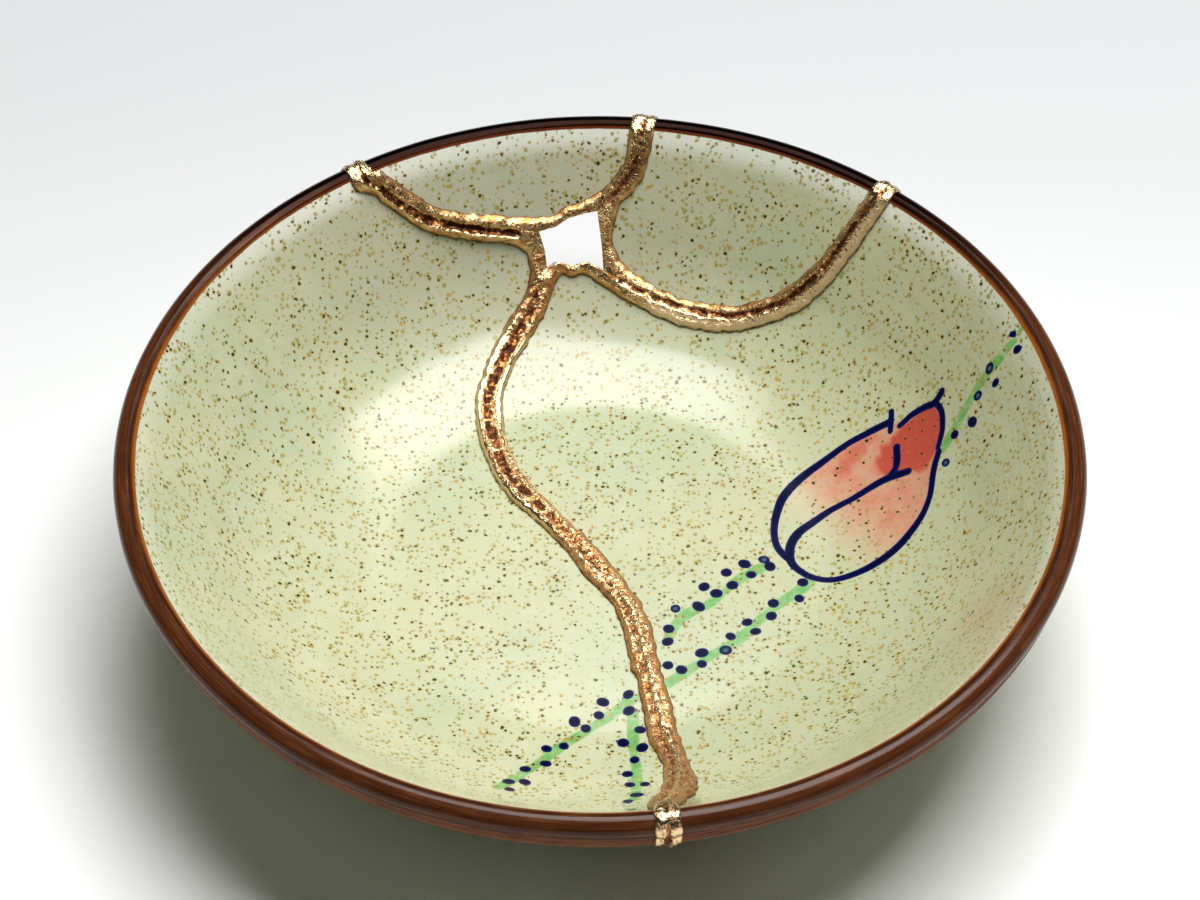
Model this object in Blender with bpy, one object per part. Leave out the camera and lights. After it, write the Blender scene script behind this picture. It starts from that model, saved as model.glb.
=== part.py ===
"""A stoneware dish broken into four sherds and joined again with gold seams.

The dish stands on its foot ring, with the origin at the centre of its underside, +Z up.
+Y is the side of the open hole, where a lost chip was left missing.

Every piece is cut from one turned wall. The wall's inside is unrolled onto a flat sheet, where a
point's distance from the centre is its distance along the inside profile. The break lines are
drawn on that sheet, the sheet is cut into triangles, and each piece is raised from its triangles
between the inside and the outside of the wall. So every break runs square through the wall.
"""

import math

import bmesh
import bpy
from mathutils import Vector
from mathutils.geometry import delaunay_2d_cdt

MM = 0.001

# The turned dish, in millimetres
EDGE_RADIUS = 78.6        # where the inside wall meets the lip
DEPTH = 30.0              # from that edge down to the inside floor
WALL_ANGLE = math.radians(51.0)
BEND_RADIUS = 38.0        # inside bend between the floor and the wall
WALL = 4.8                # wall thickness below the rim band
FLOOR = 5.5               # floor thickness
LIP = 4.3                 # thickness of the rounded lip
BAND = 5.55               # thickness of the wall at the rim band's lower edge
GROOVE_DROP = 0.9         # from the lip down to the groove, measured along the wall
GROOVE = 4.4              # thickness of the wall at the groove
BAND_DROP = 2.4           # from the lip down to the band's lower edge
UNDERCUT_DROP = 4.2       # from the lip down to where the plain wall starts
FOOT_HEIGHT = 5.5
FOOT_RADIUS = 41.0        # outer radius of the resting face
FOOT_WIDTH = 4.5          # width of the resting face
FOOT_FLARE = 2.2          # how far each side of the foot spreads up to the underside

# The gold, in millimetres
CRACK = 1.2               # opening between two sherds
BEAD_WIDTH = 4.9          # visible width of a seam
BEAD_HEIGHT = 0.95        # crest of the gold above its underside
BEAD_EDGE = 0.25          # thickness of the gold at its edges
HOLE_FILL = 0.9           # gold between the hole and the sherds around it
CLEARANCE = 0.3           # between the gold and the sherds
WANDER = 0.3              # how far the edges of the gold wander in and out
WANDER_LENGTHS = (3.1, 5.3)

# Facets
SECTORS = 72
BEND_STEPS = 7
LIP_STEPS = 3
RING_GAP = 1.0            # least distance between two rings of the bend and the rim band
FLOOR_RING = 18.0         # radius of the extra ring that divides the flat floor
FLOOR_SECTORS = 16
SEAM_STEP = 5.0
KEEP_APART = 0.75         # least distance between neighbouring corners on the sheet
ON_RING = 0.001           # a point this near to a ring lies on it

# The breaks as they lie in plan, as shares of EDGE_RADIUS. Each seam runs from a corner of the
# hole outwards, and leaves the dish over the lip at its own angle.
SEAMS = {
    "right": {
        "leaves_at": math.radians(50.9),
        "path": [(0.008, 0.793), (0.09, 0.75), (0.20, 0.704), (0.31, 0.676), (0.42, 0.678),
                 (0.51, 0.70), (0.58, 0.745)],
    },
    "middle": {
        "leaves_at": math.radians(84.4),
        "path": [(-0.006, 0.882), (0.02, 0.897), (0.053, 0.921), (0.08, 0.95)],
    },
    "left": {
        "leaves_at": math.radians(122.5),
        "path": [(-0.141, 0.846), (-0.24, 0.836), (-0.32, 0.829), (-0.39, 0.823),
                 (-0.45, 0.829), (-0.505, 0.842)],
    },
    "main": {
        "leaves_at": math.radians(277.6),
        "path": [(-0.122, 0.79), (-0.163, 0.707), (-0.243, 0.547), (-0.25, 0.43), (-0.207, 0.274),
                 (-0.12, 0.157), (-0.024, 0.02), (0.062, -0.12), (0.098, -0.27), (0.128, -0.44),
                 (0.165, -0.60), (0.155, -0.71), (0.134, -0.82)],
    },
}

# Sherds in order round the dish: the seam before, the seam after, the side of the hole between
# them, and how far the gold reaches over the sherd along that side, as a share of BEAD_WIDTH.
SHERDS = {
    "right_rim_sherd": ("right", "middle", [(0.004, 0.832)], 0.27),
    "left_rim_sherd": ("middle", "left", [(-0.037, 0.878), (-0.073, 0.87), (-0.102, 0.856)], 0.22),
    "large_left_sherd": ("left", "main", [(-0.128, 0.82)], 0.43),
    "large_right_sherd": ("main", "right", [(-0.097, 0.803), (-0.066, 0.799), (-0.028, 0.806)], 0.25),
}

# Where the gold spreads over the glaze beside the main seam, near the front rim: the sherd it
# runs onto, and in widths of the bead, its distance from the rim's edge, its reach, and its
# length inwards and outwards.
SPREADS = [
    ("large_left_sherd", 4.9, 0.43, 1.8, 0.7),
    ("large_right_sherd", 6.9, 0.31, 1.4, 2.9),
]

CELADON = (0.56, 0.60, 0.47, 1.0)
GOLD = (0.72, 0.43, 0.19, 1.0)


def clear_scene():
    for item in list(bpy.data.objects):
        bpy.data.objects.remove(item, do_unlink=True)


def material(name, colour, roughness, metallic):
    finish = bpy.data.materials.new(name)
    finish.use_nodes = True
    shader = finish.node_tree.nodes["Principled BSDF"]
    shader.inputs["Base Color"].default_value = colour
    shader.inputs["Roughness"].default_value = roughness
    shader.inputs["Metallic"].default_value = metallic
    return finish


def interpolate(table, at):
    """Read a row of values between two rows of a table sorted by its first column."""
    for low, high in zip(table, table[1:]):
        if at <= high[0]:
            break
    share = (at - low[0]) / (high[0] - low[0])
    return [a + share * (b - a) for a, b in zip(low[1:], high[1:])]


class Profile:
    """The turned wall: inside and outside points for each distance along the inside."""

    def __init__(self):
        self.up = Vector((-math.sin(WALL_ANGLE), math.cos(WALL_ANGLE)))
        self.along = Vector((math.cos(WALL_ANGLE), math.sin(WALL_ANGLE)))
        self.floor_level = FOOT_HEIGHT + FLOOR
        bend = Vector((math.sin(WALL_ANGLE), 1 - math.cos(WALL_ANGLE))) * BEND_RADIUS
        slope = (DEPTH - bend.y) / math.sin(WALL_ANGLE)
        self.floor_radius = EDGE_RADIUS - bend.x - slope * math.cos(WALL_ANGLE)
        self.bend_end = self.floor_radius + BEND_RADIUS * WALL_ANGLE
        self.edge = self.bend_end + slope
        self.tip = self.edge + LIP / 2 * math.pi / 2
        self.edge_point = Vector((EDGE_RADIUS, self.floor_level + DEPTH))
        self.foot_inside = FOOT_RADIUS - FOOT_WIDTH - FOOT_FLARE
        self.foot_outside = self.beside(FOOT_RADIUS + FOOT_FLARE, FOOT_HEIGHT)
        self.rows = self.stations()

    def beside(self, radius, height):
        """Distance along the inside to the point that lies square across from a point below."""
        if radius <= self.floor_radius:
            return radius
        rise = self.floor_level + BEND_RADIUS - height
        return self.floor_radius + BEND_RADIUS * math.atan2(radius - self.floor_radius, rise)

    def inside(self, s):
        """Point and normal of the inside wall, up to the edge of the lip."""
        if s <= self.floor_radius:
            return Vector((s, self.floor_level)), Vector((0.0, 1.0))
        if s <= self.bend_end:
            turn = (s - self.floor_radius) / BEND_RADIUS
            normal = Vector((-math.sin(turn), math.cos(turn)))
            centre = Vector((self.floor_radius, self.floor_level + BEND_RADIUS))
            return centre - normal * BEND_RADIUS, normal
        return self.edge_point + self.along * (s - self.edge), self.up

    def outside(self, s):
        """Point of the outside wall square across from the inside."""
        point, normal = self.inside(s)
        thickness = interpolate([(0.0, LIP), (GROOVE_DROP, GROOVE), (BAND_DROP, BAND),
                                 (UNDERCUT_DROP, WALL), (self.edge, WALL)], self.edge - s)[0]
        return point - normal * thickness

    def stations(self):
        """Rows of distance, inside radius and height, outside radius and height."""
        foot = [(0.0, Vector((0.0, FOOT_HEIGHT))),
                (self.foot_inside, Vector((self.foot_inside, FOOT_HEIGHT)))]
        for radius in (FOOT_RADIUS - FOOT_WIDTH, FOOT_RADIUS):
            foot.append((self.beside(radius, 0.0), Vector((radius, 0.0))))
        foot.append((self.foot_outside, Vector((FOOT_RADIUS + FOOT_FLARE, FOOT_HEIGHT))))

        levels = [self.edge - drop for drop in (UNDERCUT_DROP, BAND_DROP, GROOVE_DROP, 0.0)]
        for step in range(1, BEND_STEPS + 1):
            level = self.floor_radius + BEND_RADIUS * WALL_ANGLE * step / BEND_STEPS
            clear_of_rings = all(abs(level - other) > RING_GAP for other in levels)
            if level > self.foot_outside + FOOT_FLARE and clear_of_rings:
                levels.append(level)
        rows = [(s, *self.inside(s)[0], *below) for s, below in foot]
        rows += [(s, *self.inside(s)[0], *self.outside(s)) for s in sorted(levels)]

        centre = self.edge_point - self.up * LIP / 2
        for step in range(1, LIP_STEPS + 1):
            turn = math.pi / 2 * step / LIP_STEPS
            forward = self.along * math.sin(turn) * LIP / 2
            aside = self.up * math.cos(turn) * LIP / 2
            s = self.edge + (self.tip - self.edge) * step / LIP_STEPS
            rows.append((s, *(centre + forward + aside), *(centre + forward - aside)))
        return rows

    def normals(self):
        """Rows of distance, inside normal and outside normal, from the facets that meet there."""
        count = len(self.rows)
        loop = [Vector(row[1:3]) for row in self.rows]
        loop += [Vector(row[3:5]) for row in reversed(self.rows[:-1])]
        found = []
        for index, point in enumerate(loop):
            before = loop[index - 1] if index else Vector((-point.x - 1.0, point.y))
            after = loop[index + 1] if index + 1 < len(loop) else Vector((-1.0, point.y))
            sides = [(point - before).normalized(), (after - point).normalized()]
            found.append(sum((Vector((-side.y, side.x)) for side in sides), Vector((0, 0))).normalized())
        outer = [found[-1 - index] for index in range(count)]
        return [(row[0], *found[index], *outer[index]) for index, row in enumerate(self.rows)]


def ring_distance(point):
    """Distance along the inside of the ring of facets that a point on the sheet lies on."""
    sector = math.tau / SECTORS
    off_middle = math.atan2(point.y, point.x) % sector - sector / 2
    return point.length * math.cos(off_middle) / math.cos(sector / 2)


class Sheet:
    """The unrolled wall, which turns points on the sheet into points on the dish."""

    def __init__(self, profile):
        self.profile = profile
        self.rows = profile.rows
        self.normals = profile.normals()
        self.rings = [row[0] for row in self.rows[1:]]

    def unroll(self, share):
        """From a plan position, as shares of the edge radius, to the sheet."""
        flat = Vector(share)
        radius = flat.length * EDGE_RADIUS
        along = interpolate([(row[1], row[0]) for row in self.rows if row[0] <= self.profile.edge],
                            radius)[0]
        return flat.normalized() * along

    def place(self, point, inside, lift):
        """The point of the dish above a sheet point, lifted off the inside or the outside."""
        s = ring_distance(point)
        side = 0 if inside else 2
        radius, height = interpolate(self.rows, s)[side:side + 2]
        lean, rise = interpolate(self.normals, s)[side:side + 2]
        size = math.hypot(lean, rise)
        spread = radius / s if s > 0.01 else 1.0
        away = point.normalized() * lift * lean / size
        return Vector((point.x * spread + away.x, point.y * spread + away.y,
                       height + lift * rise / size)) * MM

    def over_foot(self, point):
        """Whether a point lies over the foot ring, and not just on one of its two borders."""
        s = ring_distance(point)
        return self.profile.foot_inside + ON_RING < s < self.profile.foot_outside - ON_RING

    def on_tip(self, point):
        return abs(ring_distance(point) - self.profile.tip) < ON_RING


def smooth(points, step):
    """A curve through the points, with corners about a step apart."""
    ends = [points[0] * 2 - points[1]] + points + [points[-1] * 2 - points[-2]]
    curve = [points[0]]
    for a, b, c, d in zip(ends, ends[1:], ends[2:], ends[3:]):
        count = max(1, round((c - b).length / step))
        for index in range(1, count + 1):
            t = index / count
            curve.append((b * 2 + (c - a) * t + (a * 2 - b * 5 + c * 4 - d) * t * t
                          + (b * 3 - a - c * 3 + d) * t ** 3) / 2)
    return curve


def shifted(line, reaches):
    """The line moved to its right, by its own reach at each point."""
    moved = []
    for index, (point, reach) in enumerate(zip(line, reaches)):
        before = (point - line[index - 1]).normalized() if index else None
        after = (line[index + 1] - point).normalized() if index + 1 < len(line) else None
        run = ((before or after) + (after or before)).normalized()
        turn = run.dot(before or after)
        moved.append(point + Vector((run.y, -run.x)) * reach / max(turn, 0.7))
    return moved


def seam_line(sheet, seam):
    """Middle of one seam on the sheet, from the hole's corner to beyond the lip."""
    points = [sheet.unroll(share) for share in seam["path"]]
    out = Vector((math.cos(seam["leaves_at"]), math.sin(seam["leaves_at"])))
    points += [out * sheet.profile.edge, out * (sheet.profile.tip + SEAM_STEP / 2)]
    line = smooth(points, SEAM_STEP)
    return [point for point in line if (point - line[0]).length > HOLE_FILL * 1.8]


def edge_wander(way):
    short, long = WANDER_LENGTHS
    return WANDER * (0.6 * math.sin(way / short) + 0.4 * math.sin(way / long + 2.0))


def spread_reach(name, point, edge):
    """Extra reach of the gold where it has run over the glaze near the front rim."""
    reach = 0.0
    for sherd, place, most, inwards, outwards in SPREADS:
        off = (edge - ring_distance(point)) / BEAD_WIDTH - place
        if sherd == name and point.y < 0:
            fade = off / inwards if off > 0 else -off / outwards
            reach += most * BEAD_WIDTH * max(0.0, 1 - fade)
    return reach


def break_lines(sheet, name):
    """Edge of one sherd, edge of the gold on it and edge of the gold in the crack beside it."""
    before, after, hole_side, hole_reach = SHERDS[name]
    side_reach = (BEAD_WIDTH - CRACK) / 2
    half = CRACK / 2
    inward = seam_line(sheet, SEAMS[before])
    inward = shifted(inward, [-half] * len(inward))[::-1]
    outward = seam_line(sheet, SEAMS[after])
    outward = shifted(outward, [half] * len(outward))
    corners = [SEAMS[before]["path"][0], *hole_side, SEAMS[after]["path"][0]]
    round_hole = [sheet.unroll(share) for share in corners]
    round_hole = shifted(round_hole, [HOLE_FILL] * len(round_hole))[1:-1]
    edge = inward + round_hole + outward
    reaches = []
    way = 0.0
    for index, point in enumerate(edge):
        way += (point - edge[index - 1]).length if index else 0.0
        beside_hole = len(inward) <= index < len(inward) + len(round_hole)
        plain = hole_reach * BEAD_WIDTH if beside_hole else side_reach
        reaches.append(plain + edge_wander(way) + spread_reach(name, point, sheet.profile.edge))
    gold_edge = shifted(edge, reaches)
    fill_edge = shifted(edge, [-CLEARANCE] * len(edge))
    return edge, gold_edge, fill_edge


def hole_outline(sheet):
    """The open hole, anticlockwise from above."""
    shares = []
    for before, _, side, _ in SHERDS.values():
        shares += [SEAMS[before]["path"][0], *side]
    return [sheet.unroll(share) for share in shares]


def crossing(start, end, level):
    """Where a stretch of line meets a ring."""
    inner = ring_distance(start) < level
    for _ in range(40):
        middle = (start + end) / 2
        if (ring_distance(middle) < level) == inner:
            start = middle
        else:
            end = middle
    return (start + end) / 2


def with_crossings(line, rings, closed=False):
    """The line with a corner at each ring it meets, cut off at the outermost ring."""
    limit = rings[-1]
    course = []
    stretches = zip(line, line[1:] + line[:1]) if closed else zip(line, line[1:])
    for start, end in stretches:
        if ring_distance(start) < limit:
            course.append((start, None))
        near, far = ring_distance(start), ring_distance(end)
        met = [level for level in rings if min(near, far) < level < max(near, far)]
        for level in sorted(met, reverse=near > far):
            course.append((crossing(start, end, level), level))
    if not closed and ring_distance(line[-1]) < limit:
        course.append((line[-1], None))
    kept = []
    for index, (point, level) in enumerate(course):
        around = [course[index - 1], course[(index + 1) % len(course)]]
        crowded = any(other[1] and (other[0] - point).length < KEEP_APART for other in around)
        if level or not crowded:
            kept.append((point, level))
    return kept


def divide(sheet, lines, loops):
    """Cut the sheet into triangles along the rings and the given lines."""
    rings = sheet.rings
    courses = [(with_crossings(line, rings), False) for line in lines]
    courses += [(with_crossings(loop, rings, closed=True), True) for loop in loops]
    points = []
    edges = []
    for course, closed in courses:
        first = len(points)
        points += [point for point, _ in course]
        edges += [(first + index, first + index + 1) for index in range(len(course) - 1)]
        if closed:
            edges.append((len(points) - 1, first))
    on_lines = list(points)
    met = [(index, level) for index, level in
           enumerate(level for course, _ in courses for _, level in course) if level]

    for level, sectors in [(FLOOR_RING, FLOOR_SECTORS)] + [(ring, SECTORS) for ring in rings]:
        ring = [(math.atan2(points[index].y, points[index].x) % math.tau, index)
                for index, other in met if other == level]
        for step in range(sectors):
            angle = math.tau * step / sectors
            corner = Vector((math.cos(angle), math.sin(angle))) * level
            if all((corner - other).length > KEEP_APART for other in on_lines):
                ring.append((angle, len(points)))
                points.append(corner)
        order = [index for _, index in sorted(ring)]
        if level != FLOOR_RING:
            edges += list(zip(order, order[1:] + order[:1]))
    found, _, triangles, _, _, _ = delaunay_2d_cdt(points, edges, [], 1, 1e-5, True)
    inner = [tuple(triangle) for triangle in triangles
             if not all(sheet.on_tip(found[index]) for index in triangle)]
    return found, inner


def raised(name, sheet, points, cells, levels, tip_pairs, finish):
    """One solid from sheet triangles, each filled in some of the layers between the levels."""
    mesh = bmesh.new()
    corners = {}

    def corner(index, level):
        if sheet.on_tip(points[index]):
            level = tip_pairs.get(level, level)
        key = (index, level)
        if key not in corners:
            corners[key] = mesh.verts.new(levels[level](points[index]))
        return corners[key]

    def face(*keys):
        ends = []
        for key in keys:
            vert = corner(*key)
            if vert not in ends:
                ends.append(vert)
        if len(ends) > 2:
            mesh.faces.new(ends)

    beside = {}
    for triangle in cells:
        for a, b in zip(triangle, triangle[1:] + triangle[:1]):
            beside[a, b] = triangle
    for triangle, layers in cells.items():
        for layer in layers:
            if layer - 1 not in layers:
                face(*((index, layer) for index in reversed(triangle)))
            if layer + 1 not in layers:
                face(*((index, layer + 1) for index in triangle))
            for a, b in zip(triangle, triangle[1:] + triangle[:1]):
                round_lip = sheet.on_tip(points[a]) and sheet.on_tip(points[b])
                if layer not in cells.get(beside.get((b, a)), ()) and not round_lip:
                    face((a, layer), (b, layer), (b, layer + 1), (a, layer + 1))
    bmesh.ops.triangulate(mesh, faces=mesh.faces[:])
    data = bpy.data.meshes.new(name)
    mesh.to_mesh(data)
    mesh.free()
    data.materials.append(finish)
    data.shade_smooth()
    data.set_sharp_from_angle(angle=math.radians(32))
    item = bpy.data.objects.new(name, data)
    bpy.context.scene.collection.objects.link(item)
    return item


def contains(outline, point):
    """Whether an outline holds a point, by counting the sides to one side of it."""
    found = False
    for a, b in zip(outline, outline[1:] + outline[:1]):
        if (a.y > point.y) != (b.y > point.y):
            if point.x < a.x + (point.y - a.y) * (b.x - a.x) / (b.y - a.y):
                found = not found
    return found


def closed_round(line, name, tip):
    """A sherd's edge line closed round the outside of the sheet."""
    before, after = SHERDS[name][:2]
    first, last = SEAMS[before]["leaves_at"], SEAMS[after]["leaves_at"]
    turn = (last - first) % math.tau
    steps = math.ceil(turn / math.radians(10))
    angles = [last - turn * step / steps for step in range(steps + 1)]
    return line + [Vector((math.cos(angle), math.sin(angle))) * tip * 1.2 for angle in angles]


def distance_to(lines, point):
    nearest = math.inf
    for line in lines:
        for a, b in zip(line, line[1:]):
            run = b - a
            share = min(1.0, max(0.0, (point - a).dot(run) / run.length_squared))
            nearest = min(nearest, (a + run * share - point).length)
    return nearest


def middle_of(points, triangle):
    return sum((points[index] for index in triangle), Vector((0, 0))) / 3


def build_sherds(sheet, edges, outlines, hole, finish):
    points, triangles = divide(sheet, list(edges.values()), [])
    levels = [lambda point: sheet.place(point, False, 0.0),
              lambda point: sheet.place(point, True, 0.0)]
    for name, outline in outlines.items():
        cells = {}
        for triangle in triangles:
            middle = middle_of(points, triangle)
            if contains(outline, middle) and not contains(hole, middle):
                cells[triangle] = (0,)
        raised(name, sheet, points, cells, levels, {1: 0}, finish)


def build_gold(sheet, gold_edges, fill_edges, gold_outlines, fill_outlines, hole, finish):
    """The fill of the cracks with a bead on each side, which meet over the lip.

    On the foot ring there is no bead below, and the fill stays just inside the resting face.
    """
    points, triangles = divide(sheet, gold_edges + fill_edges, [hole])
    fill_and_hole = fill_edges + [hole + hole[:1]]

    def height(point):
        to_edge = distance_to(gold_edges, point)
        to_crest = distance_to(fill_and_hole, point)
        share = to_edge / (to_edge + to_crest)
        return BEAD_EDGE + (BEAD_HEIGHT - BEAD_EDGE) * share

    def fill_bottom(point):
        lift = -CLEARANCE if sheet.over_foot(point) else CLEARANCE
        return sheet.place(point, False, lift)

    levels = [lambda point: sheet.place(point, False, CLEARANCE + height(point)),
              fill_bottom,
              lambda point: sheet.place(point, True, CLEARANCE),
              lambda point: sheet.place(point, True, CLEARANCE + height(point))]
    cells = {}
    for triangle in triangles:
        middle = middle_of(points, triangle)
        covered = not any(contains(outline, middle) for outline in gold_outlines)
        if covered and not contains(hole, middle):
            in_crack = not any(contains(outline, middle) for outline in fill_outlines)
            below = () if sheet.over_foot(middle) else (0,)
            cells[triangle] = below + ((1,) if in_crack else ()) + (2,)
    raised("gold_seam", sheet, points, cells, levels, {3: 0, 2: 1}, finish)


def main():
    clear_scene()
    sheet = Sheet(Profile())
    tip = sheet.profile.tip
    hole = hole_outline(sheet)
    edges, gold_edges, fill_edges = {}, {}, {}
    for name in SHERDS:
        edges[name], gold_edges[name], fill_edges[name] = break_lines(sheet, name)

    def outlines(lines):
        return {name: closed_round(line, name, tip) for name, line in lines.items()}

    celadon = material("celadon_glaze", CELADON, 0.25, 0.0)
    gold = material("gold_lacquer", GOLD, 0.35, 1.0)
    build_sherds(sheet, edges, outlines(edges), hole, celadon)
    build_gold(sheet, list(gold_edges.values()), list(fill_edges.values()),
               list(outlines(gold_edges).values()), list(outlines(fill_edges).values()), hole, gold)


main()
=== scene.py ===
import math

import bpy
import numpy as np
from mathutils.geometry import delaunay_2d_cdt
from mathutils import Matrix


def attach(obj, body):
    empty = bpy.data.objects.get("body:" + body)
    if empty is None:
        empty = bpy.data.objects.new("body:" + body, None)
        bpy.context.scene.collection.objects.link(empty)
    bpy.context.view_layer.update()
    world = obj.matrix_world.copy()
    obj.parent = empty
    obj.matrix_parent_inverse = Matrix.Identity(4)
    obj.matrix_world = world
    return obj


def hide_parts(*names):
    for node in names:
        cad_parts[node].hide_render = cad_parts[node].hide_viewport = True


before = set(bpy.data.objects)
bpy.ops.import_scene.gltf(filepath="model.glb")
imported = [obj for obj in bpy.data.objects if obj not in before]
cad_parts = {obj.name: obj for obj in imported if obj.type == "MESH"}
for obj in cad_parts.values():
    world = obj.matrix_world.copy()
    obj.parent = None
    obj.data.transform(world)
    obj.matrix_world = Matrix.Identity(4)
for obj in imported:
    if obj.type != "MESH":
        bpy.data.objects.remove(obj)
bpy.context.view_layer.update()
MM = 0.001

# The thrown wall
# One stoneware dish, thrown on a wheel and turned on its foot, from which every piece is cut.
# Its inside is unrolled onto a flat sheet, whose points are complex numbers in millimetres.

EDGE_RADIUS = 78.6        # where the inside wall meets the lip
DEPTH = 30.0              # from that edge down to the inside floor
WALL_ANGLE = math.radians(51.0)
BEND_RADIUS = 38.0
WALL = 4.8
FLOOR = 5.5
LIP = 4.3
RIM_THICKNESS = [         # distance down the outside from the edge, and the wall there
    (0.0, 4.3), (0.55, 4.42), (0.95, 4.2), (1.35, 4.75), (2.0, 5.4), (2.5, 5.55),
    (3.2, 5.45), (4.2, 4.85), (5.0, 4.8),
]
FOOT_HEIGHT = 5.5
FOOT_RADIUS = 41.0
FOOT_WIDTH = 4.5
FOOT_FLARE = 2.2
FOOT_ROUNDING = 0.5
FOOT_BLEND = 9.0          # length over which the wall thins above the foot
STATION = 0.1             # step between two stations, from the centre along the inside

bend = BEND_RADIUS * np.array([math.sin(WALL_ANGLE), 1 - math.cos(WALL_ANGLE)])
slope = (DEPTH - bend[1]) / math.sin(WALL_ANGLE)
floor_level = FOOT_HEIGHT + FLOOR
floor_radius = EDGE_RADIUS - bend[0] - slope * math.cos(WALL_ANGLE)
bend_end = floor_radius + BEND_RADIUS * WALL_ANGLE
edge_at = bend_end + slope
tip_at = edge_at + LIP / 2 * math.pi / 2
stations = np.arange(0.0, tip_at + STATION, STATION)


def soften(values, width):
    """Round the corners of a row of values over a width in millimetres."""
    half = max(1, round(width / STATION))
    window = np.hanning(2 * half + 3)[1:-1]
    padded = np.pad(values, half, mode="reflect", reflect_type="odd")
    return np.convolve(padded, window / window.sum(), mode="valid")


def inside_wall(s):
    """Radius and height of the inside at distances along it, and the direction square to it."""
    turn = np.clip((s - floor_radius) / BEND_RADIUS, 0.0, WALL_ANGLE)
    normal = np.stack([-np.sin(turn), np.cos(turn)])
    centre = np.array([[floor_radius], [floor_level + BEND_RADIUS]])
    point = np.where(s < floor_radius, np.stack([s, np.full_like(s, floor_level)]),
                     centre - normal * BEND_RADIUS)
    along = np.array([[math.cos(WALL_ANGLE)], [math.sin(WALL_ANGLE)]])
    return point + along * np.clip(s - bend_end, 0.0, edge_at - bend_end), normal


def beside(radius, height):
    """Distance along the inside to the point square across from a point of the underside."""
    rise = floor_level + BEND_RADIUS - height
    return floor_radius + BEND_RADIUS * math.atan2(max(0.0, radius - floor_radius), rise)


inside, inside_normal = inside_wall(stations)
foot_end = beside(FOOT_RADIUS + FOOT_FLARE, FOOT_HEIGHT)
foot_start = FOOT_RADIUS - FOOT_WIDTH - FOOT_FLARE
foot_corners = [
    (0.0, 0.0, FOOT_HEIGHT),
    (foot_start, foot_start, FOOT_HEIGHT),
    (beside(FOOT_RADIUS - FOOT_WIDTH, 0.0), FOOT_RADIUS - FOOT_WIDTH, 0.0),
    (beside(FOOT_RADIUS, 0.0), FOOT_RADIUS, 0.0),
    (foot_end, FOOT_RADIUS + FOOT_FLARE, FOOT_HEIGHT),
]
above_foot = math.dist(inside_wall(np.array([foot_end]))[0][:, 0], foot_corners[-1][1:])
thinning = np.clip((stations - foot_end) / FOOT_BLEND, 0.0, 1.0)
thickness = np.interp(edge_at - stations, *zip(*RIM_THICKNESS))
thickness = thickness + (above_foot - WALL) * (1 - thinning) ** 2
outside = inside - inside_normal * soften(thickness, 0.3)
for axis in (0, 1):
    foot = np.interp(stations, [row[0] for row in foot_corners],
                     [row[1 + axis] for row in foot_corners])
    outside[axis] = np.where(stations < foot_end, foot, outside[axis])
    outside[axis] = np.where(stations < foot_end + 3.0, soften(outside[axis], FOOT_ROUNDING),
                             outside[axis])

# The lip is half a circle, shared by the inside and the outside up to its tip.
turn = np.clip((stations - edge_at) / (LIP / 2), 0.0, math.pi / 2)
over_lip = stations > edge_at
along = np.array([[math.cos(WALL_ANGLE)], [math.sin(WALL_ANGLE)]])
up = np.array([[-math.sin(WALL_ANGLE)], [math.cos(WALL_ANGLE)]])
lip_centre = inside_wall(np.array([edge_at]))[0] - up * LIP / 2
inside_normal = np.where(over_lip, along * np.sin(turn) + up * np.cos(turn), inside_normal)
inside = np.where(over_lip, lip_centre + inside_normal * LIP / 2, inside)
outside_normal = along * np.sin(turn) - up * np.cos(turn)
outside = np.where(over_lip, lip_centre + outside_normal * LIP / 2, outside)
run = np.gradient(outside, axis=1)
run /= np.hypot(*run)
outside_normal = np.where(over_lip, outside_normal, np.stack([run[1], -run[0]]))


class Value:
    """A node's output, which sums and products turn into Math nodes."""

    def __init__(self, net, socket):
        self.net, self.socket = net, socket

    def maths(self, operation, *others):
        return self.net.maths(operation, self, *others)

    def between(self, low, high):
        """0 below low, 1 above high, and a smooth rise from one to the other."""
        return self.net.node("ShaderNodeMapRange", {"interpolation_type": "SMOOTHSTEP"},
                             {"Value": self, "From Min": low, "From Max": high})

    def part(self, index):
        """One of the three numbers of a vector or a colour."""
        return self.net.node("ShaderNodeSeparateXYZ", {}, [self], index)

    def __abs__(self):
        return self.maths("ABSOLUTE")

    def least(self, other):
        return self.maths("MINIMUM", other)

    def most(self, other):
        return self.maths("MAXIMUM", other)


# Values can be added, taken away, multiplied and divided like numbers.
for sign, operation in {"add": "ADD", "sub": "SUBTRACT", "mul": "MULTIPLY", "truediv": "DIVIDE"}.items():
    setattr(Value, f"__{sign}__", lambda one, two, work=operation: one.net.maths(work, one, two))
    setattr(Value, f"__r{sign}__", lambda one, two, work=operation: one.net.maths(work, two, one))


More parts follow.
